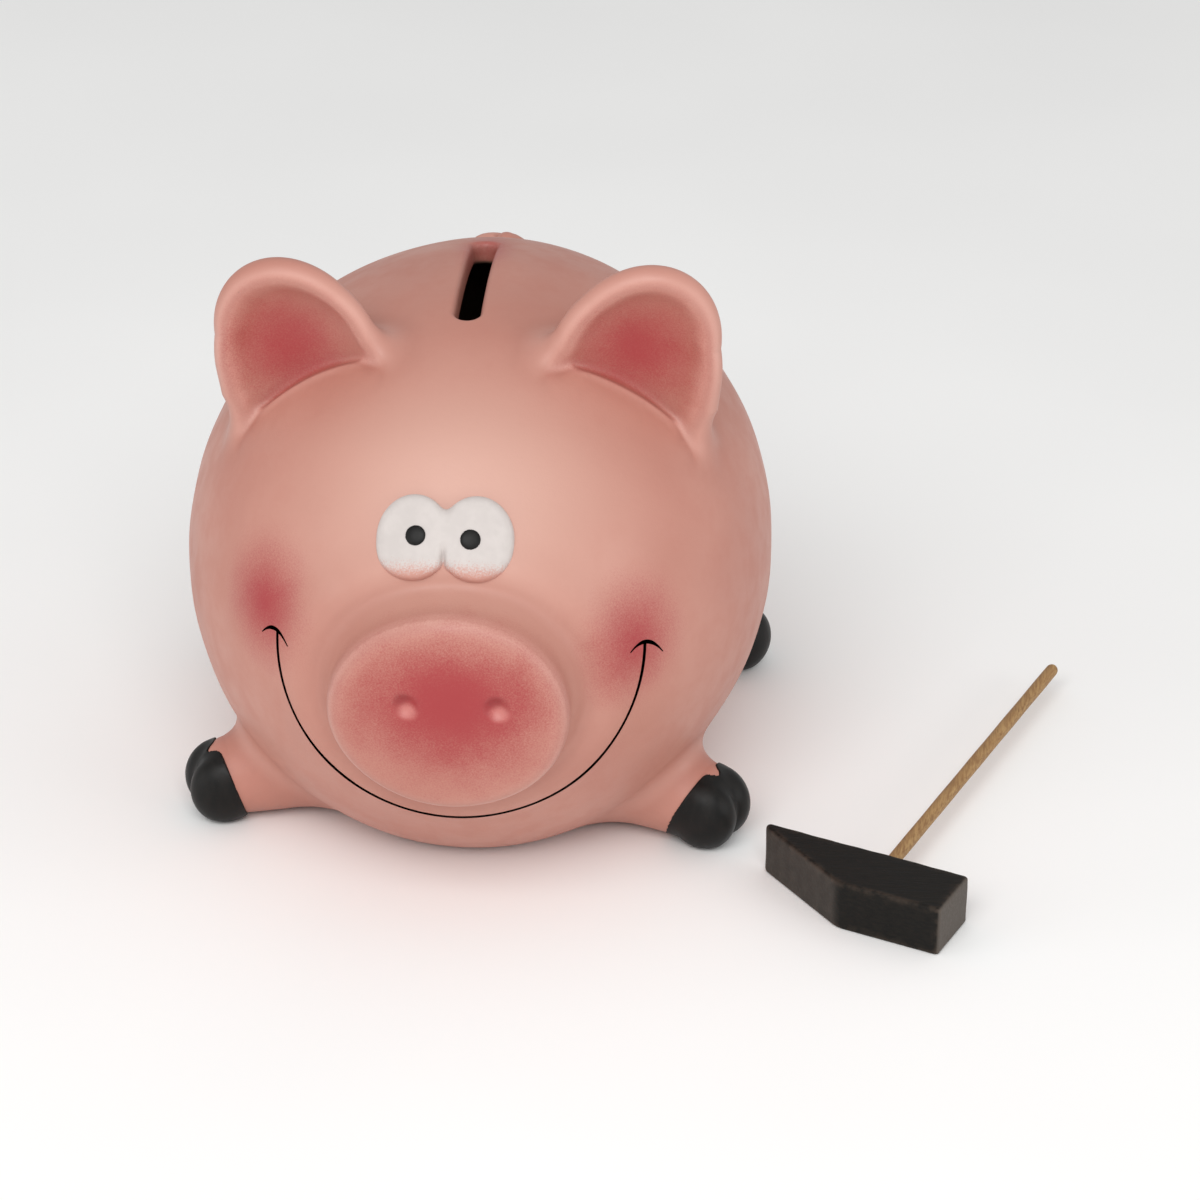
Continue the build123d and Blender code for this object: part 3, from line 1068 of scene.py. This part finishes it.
def eye_pad(p):
    """Two ovals run together, raised off the face, with a soft edge and a crease below the middle."""
    q = local(p, eye_point, EYE_AXES)
    ovals = []
    for side in (-1, 1):
        flat = np.stack([q[:, 0] - side * EYE_SPREAD, q[:, 1]], -1)
        low = flat[:, 1] < 0
        flat[low, 1] = -EYE_RADII[1] * (-flat[low, 1] / EYE_RADII[1]) ** 1.3
        shape = flat / np.array(EYE_RADII)
        size = length(shape)
        ovals.append(size * (size - 1) / np.maximum(length(shape / np.array(EYE_RADII)), 1e-9))
    outline = smooth_min(*ovals, 2.4)
    crease = 1.2 * np.exp(-((q[:, 0] / 0.6) ** 2)) / (1 + np.exp((q[:, 1] + 3.0) / 0.7))
    front = egg(p) - EYE_RISE + crease
    return np.maximum(smooth_max(outline, front, 1.9), -1.5 - egg(p))


def eye_edge(p, _):
    """How close to the pad's lower edge each place is, from 0 to 1."""
    q = local(p, eye_point, EYE_AXES)
    lowness = np.clip(-(q[:, 1] + 2.0) / (EYE_RADII[1] - 2.0), 0, 1)
    rim = np.clip(1 - (egg(p) / EYE_RISE), 0, 1) * 0.5
    return {"edge": np.clip(lowness + rim * 0.6, 0, 1)}


eye_low, eye_high = node_box("eye_whites")
field_piece(
    "eye_pad", eye_pad, eye_low - 4, eye_high + 4, 0.8, "bank", WHITE,
    ["eye_whites"], detail=2, values=eye_edge,
)


def pupils():
    for name, side in (("left_pupil", -1), ("right_pupil", 1)):
        rough = eye_point + EYE_AXES[0] * (side * PUPIL_SPREAD + PUPIL_SHIFT) - EYE_AXES[1] * PUPIL_DROP[side]
        place = onto_surface(lambda p: egg(p) - EYE_RISE, rough[None], 5.0)[0]
        normal = egg_normal(place)
        axes = turned_axes(normal, [1.0, 0.0, 0.0])
        radii = (PUPIL_DOME, PUPIL_RADIUS, PUPIL_RADIUS)
        field_piece(
            f"{name}_dot", lambda p: ellipsoid(local(p, place, axes), (0, 0, 0), radii),
            place - 3.2, place + 3.2, 0.3, "bank", BLACK, [name], detail=2,
        )


pupils()

MOUTH_MIDDLE = (2.0, 62.6)
MOUTH_RADII = (38.8, 39.0)
MOUTH_WIDTH = 1.0
MOUTH_RISES = (1.5, 0.3)
TICKS = (("left", -3.75, 2.55), ("right", -2.85, 3.6))
TICK_BEND = 0.22
TICK_TOP = -0.6
TICK_WIDTH = 0.95
# A stroke's section: across as a share of its half width, and height over the clay
PAINT_SECTION = np.array([(-1.0, -0.02), (-0.7, 0.08), (0.0, 0.11), (0.7, 0.08), (1.0, -0.02), (0.0, -0.3)])


def on_face(across):
    """The places on the pig's outside in front of points across its face."""
    places = np.array([egg_point(x, z) for x, z in across]) + [0.0, -4.0, 0.0]
    for _ in range(8):
        places[:, 1] += pig_outside(places) * 0.9
    return places


def brush_line(name, across, widths):
    """A thin raised ribbon of paint along points across the face, with tapering ends."""
    centre = on_face(across)
    normals = unit(slopes(pig_outside, centre))
    along = unit(np.gradient(centre, axis=0))
    sideways = np.cross(normals, along)
    count = len(PAINT_SECTION)
    out, up = PAINT_SECTION[None, :, :1], PAINT_SECTION[None, :, 1:]
    spread = out * np.asarray(widths)[:, None, None] / 2
    flat = centre[:, None] + sideways[:, None] * spread
    settled = onto_surface(pig_outside, flat.reshape(-1, 3), 0.5).reshape(flat.shape)
    p = (settled + normals[:, None] * up).reshape(-1, 3)
    p_normals = unit((normals[:, None] + sideways[:, None] * out * 0.35).reshape(-1, 3))
    last = len(centre) - 1
    faces = []
    for i in range(last):
        for j in range(count):
            a, b = i * count + j, i * count + (j + 1) % count
            faces += [(a, b, b + count), (a, b + count, a + count)]
    for start, flip in ((0, False), (last * count, True)):
        for j in range(1, count - 1):
            cap = (start, start + j + 1, start + j)
            faces.append(cap[::-1] if flip else cap)
    make_piece(name, p, np.array(faces), p_normals, "bank", MOUTH)


def mouth():
    """The smile and the small curved tick at each end of it."""
    steps = 120
    angles = np.linspace(-math.pi / 2, math.pi / 2, steps)
    arc = [
        (MOUTH_MIDDLE[0] + MOUTH_RADII[0] * math.sin(a), MOUTH_MIDDLE[1] - MOUTH_RADII[1] * math.cos(a))
        for a in angles
    ]
    tops = [(x, z + rise) for (x, z), rise in zip((arc[0], arc[-1]), MOUTH_RISES)]
    risers = [
        [(x, z - rise * share) for share in (0, 0.25, 0.5, 0.75)]
        for (x, z), rise in zip(tops, MOUTH_RISES)
    ]
    across = risers[0] + arc + risers[1][::-1]
    along = np.linspace(0, math.pi, len(across))
    pressure = 0.85 + 0.3 * np.sin(along) ** 2 + 0.08 * np.sin(along * 9)
    brush_line("mouth_line", across, MOUTH_WIDTH * pressure)
    for (name, start, stop), (x, z) in zip(TICKS, tops):
        steps_out = np.linspace(start, stop, 22)
        tick = [(x + d, z + 0.1 - TICK_BEND * (d - TICK_TOP) ** 2) for d in steps_out]
        share = np.linspace(-1, 1, len(tick))
        brush_line(f"mouth_tick_{name}", tick, TICK_WIDTH * np.clip(1.25 - np.abs(share), 0.25, 1))


mouth()


# ---- stopper


FLANGE_RADIUS = 17.4
RING_RADIUS = 13.0
RING_DEPTH = 0.55
STOPPER_BORE = 9.5
TAB_HALF_WIDTH = 5.0
TAB_HALF_THICKNESS = 1.2


def stopper_body(p):
    """A hollow plug, a flange with a shallow ring pressed in it, and a tab to pull."""
    low, high = node_box("belly_stopper")
    radius = np.hypot(p[:, 0], p[:, 1])
    z = p[:, 2]
    plug = smooth_max(radius - (HOLE_RADIUS - 0.1), z - high[2], 1.4)
    flange_low, flange_high = low[2] + 0.8, RECESS_DEPTH - 0.06
    flange = smooth_max(smooth_max(radius - FLANGE_RADIUS, z - flange_high, 0.3), flange_low - z, 1.0)
    plug = np.maximum(plug, flange_low + 0.5 - z)
    ring = np.hypot(radius - RING_RADIUS, z - flange_low) - RING_DEPTH
    hollow = np.maximum(radius - STOPPER_BORE, flange_high + 0.6 - z)
    tab = np.maximum(np.abs(p[:, 0]) - TAB_HALF_WIDTH, np.abs(p[:, 1]) - TAB_HALF_THICKNESS)
    tab = np.maximum(tab, np.maximum(low[2] - z, z - flange_high))
    found = smooth_max(smooth_min(plug, flange, 0.4), -hollow, 0.8)
    return smooth_min(smooth_max(found, -ring, 0.5), tab, 0.6)


stopper_low, stopper_high = node_box("belly_stopper")
field_piece(
    "belly_stopper_rubber", stopper_body, stopper_low - 2, stopper_high + 2, 0.8, "stopper",
    RUBBER, ["belly_stopper"], detail=2,
)


# ---- hammer


def turn_about_z(angle):
    """Rows are the turned axes, so that local() reads a point in them."""
    c, s = math.cos(angle), math.sin(angle)
    return np.array([[c, s, 0.0], [-s, c, 0.0], [0.0, 0.0, 1.0]])


HEAD_AXES = turn_about_z(HEAD_TURN)
HEAD_ORIGIN = np.array([*HEAD_CORNER, 0.0])
TAPER = np.array([HEAD_WIDTH - PEEN_WIDTH, HEAD_LENGTH - HEAD_SQUARE])
TAPER_NORMAL = TAPER / np.linalg.norm(TAPER)


def hammer_head(q):
    """The head in its own frame: X from the square face to the peen, Y away from the handle."""
    x, y, z = q.T
    taper = (x - HEAD_SQUARE) * TAPER_NORMAL[0] + (y - HEAD_WIDTH) * TAPER_NORMAL[1]
    found = smooth_max(-x, x - HEAD_LENGTH, HEAD_EDGE)
    for side in (-y, y - HEAD_WIDTH, taper, -z, z - HEAD_HEIGHT):
        found = smooth_max(found, side, HEAD_EDGE)
    uneven = 0.02 * np.sin(x * 0.9) * np.sin(y * 1.3 + 1) + 0.03 * np.sin(x * 0.23 + z * 0.6)
    return found + np.where(z < 1.0, 0.0, uneven)


def hammer_handle(q):
    """The dowel in its own frame, along X, with a softly rounded tip."""
    x, y, z = q.T
    around = np.hypot(y, z) - HANDLE_RADIUS + 0.03
    around += 0.02 * np.sin(x * 0.31) + 0.015 * np.sin(np.arctan2(z, y) * 3 + x * 0.05)
    return smooth_max(smooth_max(around, x - HANDLE_REACH, 1.4), -HANDLE_HIDDEN - x, 0.6)


def turned_piece(name, field, low, high, step, origin, axes, material, node, detail, wear=False):
    """A hammer piece: meshed in its own frame and then put in place."""
    p, triangles = solid_mesh(field, low, high, step, detail)
    normals = unit(slopes(field, p))
    values = ridges_and_hollows(field, p, normals, reach=0.8) if wear else {}
    # How squarely each place faces along the piece; on the head it drives the painted reflection on the end
    # faces.
    values["painted_end_reflection"] = np.abs(normals[:, 0])
    make_piece(name, p @ axes + origin, triangles, normals @ axes, "hammer", material, [node], values)


turned_piece(
    "hammer_head_wood", hammer_head, (-2, -2, -2), (HEAD_LENGTH + 2, HEAD_WIDTH + 2, HEAD_HEIGHT + 2), 1.2,
    HEAD_ORIGIN, HEAD_AXES, STAINED, "hammer_head", 3, wear=True,
)
handle_axes = turn_about_z(HEAD_TURN - math.pi / 2 + HANDLE_SKEW)
handle_start = HEAD_ORIGIN + np.array([HANDLE_PLACE, 0.0, HEAD_HEIGHT / 2]) @ HEAD_AXES
turned_piece(
    "hammer_handle_wood", hammer_handle, (-HANDLE_HIDDEN - 2, -3, -3), (HANDLE_REACH + 2, 3, 3), 0.7,
    handle_start, handle_axes, PALE, "hammer_handle", 1,
)


# ---- floor, light and camera


FLOOR_HALF = 6.0  # metres


def floor():
    mesh = bpy.data.meshes.new("floor")
    corners = [(x * FLOOR_HALF, y * FLOOR_HALF, 0) for x, y in ((-1, -1), (1, -1), (1, 1), (-1, 1))]
    mesh.from_pydata(corners, [], [range(4)])
    n = Nodes("pale_floor")
    patch = n.noise(180.0, detail=2)
    colour = n.mix(n.ramp(patch, 0.3, 0.7), rgb(249, 249, 248), rgb(252, 252, 251))
    mesh.materials.append(n.finish(colour, n.ramp(patch, 0.3, 0.7, 0.75, 0.85), specular=0.2))
    new_object("floor", mesh)


def softbox(name, place, target, size, power):
    data = bpy.data.lights.new(name, "AREA")
    data.shape = "RECTANGLE"
    data.size, data.size_y = size
    data.energy = power
    lamp = new_object(name, data)
    place, target = np.array(place), np.array(target)
    back = unit((place - target)[None])[0]
    right = unit(np.cross([0.0, 0.0, 1.0], back)[None])[0]
    lamp.matrix_world = frame_matrix(right, np.cross(back, right), back, place)


def frame_matrix(right, up, back, place):
    rows = [[right[i], up[i], back[i], place[i]] for i in range(3)]
    return Matrix([*rows, [0, 0, 0, 1]])


WORLD_STRENGTH = 0.6


def world():
    scene_world = bpy.data.worlds.new("studio")
    scene_world.use_nodes = True
    background = scene_world.node_tree.nodes["Background"].inputs
    background["Color"].default_value = (1.0, 1.0, 1.0, 1.0)
    background["Strength"].default_value = WORLD_STRENGTH
    bpy.context.scene.world = scene_world


CAMERA_PLACE = np.array([84.42, -804.29, 461.06]) * MM
CAMERA_DOWN = math.radians(27.578)
CAMERA_HEADING = math.radians(-4.097)
CAMERA_ROLL = math.radians(0.18)
CAMERA_LENS = 120.0


def camera():
    data = bpy.data.cameras.new("camera")
    data.lens = CAMERA_LENS
    data.sensor_width = 36.0
    data.dof.use_dof = False
    data.clip_start = 0.05
    item = new_object("camera", data)
    heading = np.array([math.sin(CAMERA_HEADING), math.cos(CAMERA_HEADING), 0.0])
    forward = heading * math.cos(CAMERA_DOWN) - np.array([0.0, 0.0, math.sin(CAMERA_DOWN)])
    level = np.array([heading[1], -heading[0], 0.0])
    upward = np.cross(level, forward)
    right = level * math.cos(CAMERA_ROLL) + upward * math.sin(CAMERA_ROLL)
    up = upward * math.cos(CAMERA_ROLL) - level * math.sin(CAMERA_ROLL)
    item.matrix_world = frame_matrix(right, up, -forward, CAMERA_PLACE)
    bpy.context.scene.camera = item


floor()
softbox("key", (-0.05, -0.9, 0.9), (0.02, 0, 0.05), (1.0, 0.6), 8.0)
softbox("right", (1.0, -0.45, 0.3), (0.05, 0, 0.03), (0.7, 0.5), 2.2)
softbox("left", (-1.0, -0.5, 0.3), (0.0, 0, 0.03), (0.7, 0.5), 1.6)
world()
camera()
bpy.context.scene.view_settings.view_transform = "Standard"
